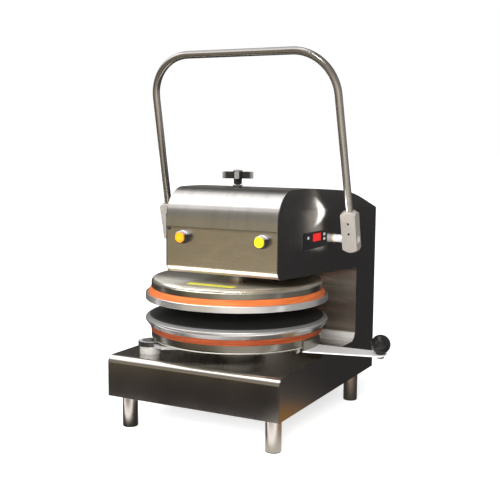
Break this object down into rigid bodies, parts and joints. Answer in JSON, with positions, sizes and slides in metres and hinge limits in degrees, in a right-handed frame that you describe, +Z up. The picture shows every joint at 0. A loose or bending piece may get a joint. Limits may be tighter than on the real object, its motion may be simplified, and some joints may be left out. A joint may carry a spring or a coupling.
{
  "type": "tortilla press",
  "caption": "Manual heated tortilla press: C-shaped steel body on tube legs, bail handle, ram with a round platen, swing-out lower platen, star knob, buttons and controller.",
  "frame": {"origin": "middle of the whole machine's footprint, on the surface it stands on", "axes": "+Z up, the front with the two buttons faces -Y, the side with the controller faces +X"},
  "size_m": [0.684, 0.6718, 0.9376],
  "materials": {
    "panel_steel": "brushed",
    "side_steel": "brushed, dark",
    "tube_steel": "brushed",
    "frame_steel": "mill finish",
    "bright_steel": "bright",
    "bronze": "machined",
    "platen_alloy": "machined",
    "block_alloy": "machined",
    "cover_steel": "spun",
    "seal_orange": "satin",
    "seal_dark": "satin",
    "black_gloss": "gloss",
    "black_matte": "matte",
    "amber_cap": "gloss",
    "yellow_cap": "gloss",
    "red_window": "gloss",
    "key_grey": "satin",
    "heater_steel": "oxidised"
  },
  "bodies": {
    "frame": {"side_panel_right": "side_steel", "side_panel_left": "side_steel", "base_side_left": "side_steel", "base_cover": "panel_steel", "base_plate": "frame_steel", "head_cover": "panel_steel", "front_panel": "panel_steel", "throat_panel": "panel_steel", "back_cover": "side_steel", "legs": "tube_steel", "leg_feet": "black_matte", "frame_plates": "frame_steel", "top_bridge": "frame_steel", "ram_guide": "frame_steel", "guide_bush": "bronze", "shaft_bushes": "bronze", "lever_pivot_pin": "bright_steel", "rod_bush": "bright_steel", "button_housings": "bright_steel", "controller_case": "black_matte", "controller_face": "black_matte", "display_window": "red_window", "pivot_post": "bright_steel", "hub_cap": "bright_steel", "support_pad": "frame_steel", "cord_gland": "black_matte"},
    "bail": {"bail_tube": "tube_steel", "bail_block_left": "block_alloy", "bail_block_right": "block_alloy", "set_screws": "heater_steel", "cross_shaft": "bright_steel", "cam": "frame_steel"},
    "lever": {"press_lever": "frame_steel", "roller_pin": "bright_steel"},
    "roller": {"cam_roller": "bright_steel"},
    "ram": {"ram": "bright_steel", "ram_cap": "frame_steel", "ram_collar": "frame_steel", "upper_platen": "platen_alloy", "upper_ring": "seal_orange", "upper_cover": "cover_steel", "upper_heater": "heater_steel", "return_springs": "bright_steel"},
    "lower": {"lower_platen": "platen_alloy", "lower_ring": "seal_dark", "lower_pan": "cover_steel", "lower_heater": "heater_steel", "swing_arm": "frame_steel", "handle_plate": "bright_steel", "ball_knob": "black_gloss", "knob_bolt": "bright_steel", "pan_nuts": "bright_steel"},
    "rod": {"adjuster_rod": "bright_steel"},
    "knob": {"star_knob": "black_gloss"},
    "left_button": {"button_left": "amber_cap"},
    "right_button": {"button_right": "yellow_cap"},
    "left_key": {"key_left": "key_grey"},
    "up_key": {"key_up": "key_grey"},
    "down_key": {"key_down": "key_grey"}
  },
  "joints": [
    {"name": "bail_pull", "type": "hinge", "parent": "frame", "child": "bail", "pos_m": [-0.06, 0.01145, 0.4761], "axis": [1, 0, 0], "range_deg": [0, 69]},
    {"name": "ram_slide", "type": "slide", "parent": "frame", "child": "ram", "axis": [0, 0, -1], "range_m": [0, 0.038], "stiffness_N_per_m": 2200, "springref_m": -0.1, "deforming": ["return_springs"]},
    {"name": "lever_swing", "type": "hinge", "parent": "frame", "child": "lever", "pos_m": [-0.06, 0.23445, 0.4401], "axis": [1, 0, 0], "range_deg": [0, 6.57]},
    {"name": "roller_spin", "type": "hinge", "parent": "lever", "child": "roller", "pos_m": [-0.06, 0.01145, 0.4461], "axis": [1, 0, 0], "continuous": true},
    {"name": "platen_swing", "type": "hinge", "parent": "frame", "child": "lower", "pos_m": [-0.2401, -0.21715, 0.2045], "axis": [0, 0, -1], "range_deg": [0, 85]},
    {"name": "rod_rise", "type": "slide", "parent": "frame", "child": "rod", "axis": [0, 0, 1], "range_m": [-0.0015, 0.0015]},
    {"name": "knob_turn", "type": "hinge", "parent": "rod", "child": "knob", "pos_m": [-0.06, -0.09555, 0.62], "axis": [0, 0, 1], "range_deg": [-360, 360]},
    {"name": "left_button_press", "type": "slide", "parent": "frame", "child": "left_button", "axis": [0, 1, 0], "range_m": [0, 0.004], "stiffness_N_per_m": 400},
    {"name": "right_button_press", "type": "slide", "parent": "frame", "child": "right_button", "axis": [0, 1, 0], "range_m": [0, 0.004], "stiffness_N_per_m": 400},
    {"name": "left_key_press", "type": "slide", "parent": "frame", "child": "left_key", "axis": [-1, 0, 0], "range_m": [0, 0.0008], "stiffness_N_per_m": 300},
    {"name": "up_key_press", "type": "slide", "parent": "frame", "child": "up_key", "axis": [-1, 0, 0], "range_m": [0, 0.0008], "stiffness_N_per_m": 300},
    {"name": "down_key_press", "type": "slide", "parent": "frame", "child": "down_key", "axis": [-1, 0, 0], "range_m": [0, 0.0008], "stiffness_N_per_m": 300}
  ],
  "couplings": [
    {"joint": "ram_slide", "follows": "bail_pull", "m_per_rad": 0.031554},
    {"joint": "lever_swing", "follows": "bail_pull", "ratio": 0.095167},
    {"joint": "knob_turn", "follows": "rod_rise", "rad_per_m": 4188.8}
  ]
}
